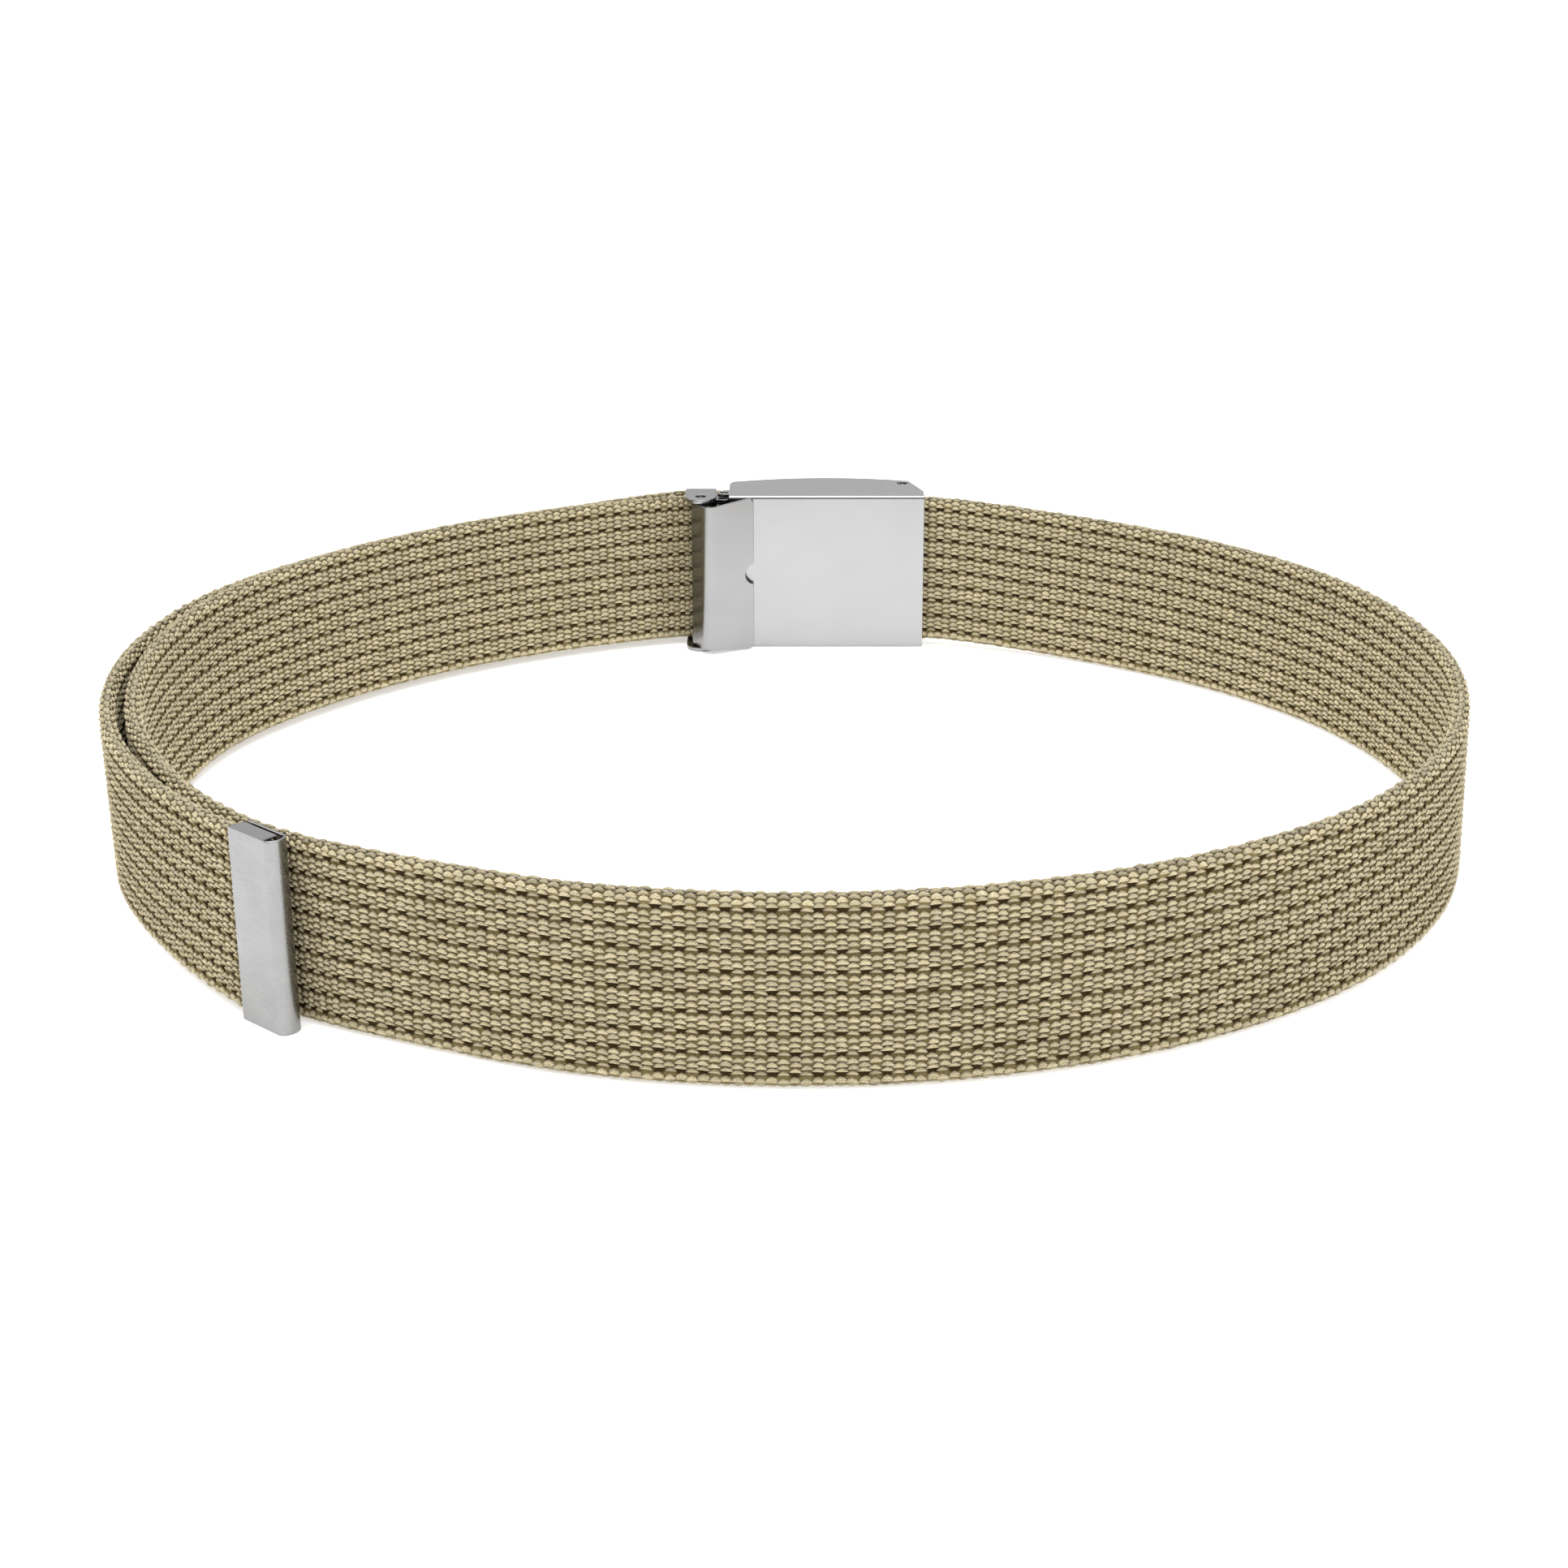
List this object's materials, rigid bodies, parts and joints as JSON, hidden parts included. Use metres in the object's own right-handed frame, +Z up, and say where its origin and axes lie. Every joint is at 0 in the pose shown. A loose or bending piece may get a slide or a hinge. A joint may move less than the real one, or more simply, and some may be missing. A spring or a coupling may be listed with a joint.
{
  "type": "canvas web belt",
  "caption": "Ribbed cotton web belt standing on its edge, fastened by a flat steel slide buckle with a clamp lever, with a folded metal tip.",
  "frame": {"origin": "middle of the belt's footprint, on the surface that it stands on", "axes": "+Z up across the strap's width, +X along the buckle with the strap's mouth on the right, +Y towards the buckle's front"},
  "size_m": [0.2958, 0.2752, 0.041],
  "materials": {
    "web_cotton": "thick ribbed khaki cotton web",
    "satin_nickel": "satin nickel plated steel sheet",
    "pin_steel": "drawn steel pins"
  },
  "bodies": {
    "belt": {"web_strap": "web_cotton", "belt_tip": "satin_nickel", "buckle_box": "satin_nickel", "front_cover": "satin_nickel", "cover_pin": "pin_steel", "grip_bar": "pin_steel", "clamp_bracket": "satin_nickel", "clamp_pin": "pin_steel", "swivel_pin": "pin_steel"},
    "clamp_flap": {"clamp_flap": "satin_nickel"}
  },
  "joints": [
    {"name": "clamp_lever", "type": "hinge", "parent": "belt", "child": "clamp_flap", "pos_m": [-0.02215, 0.11964, 0.0205], "axis": [0, 0, -1], "range_deg": [0, 100]}
  ]
}
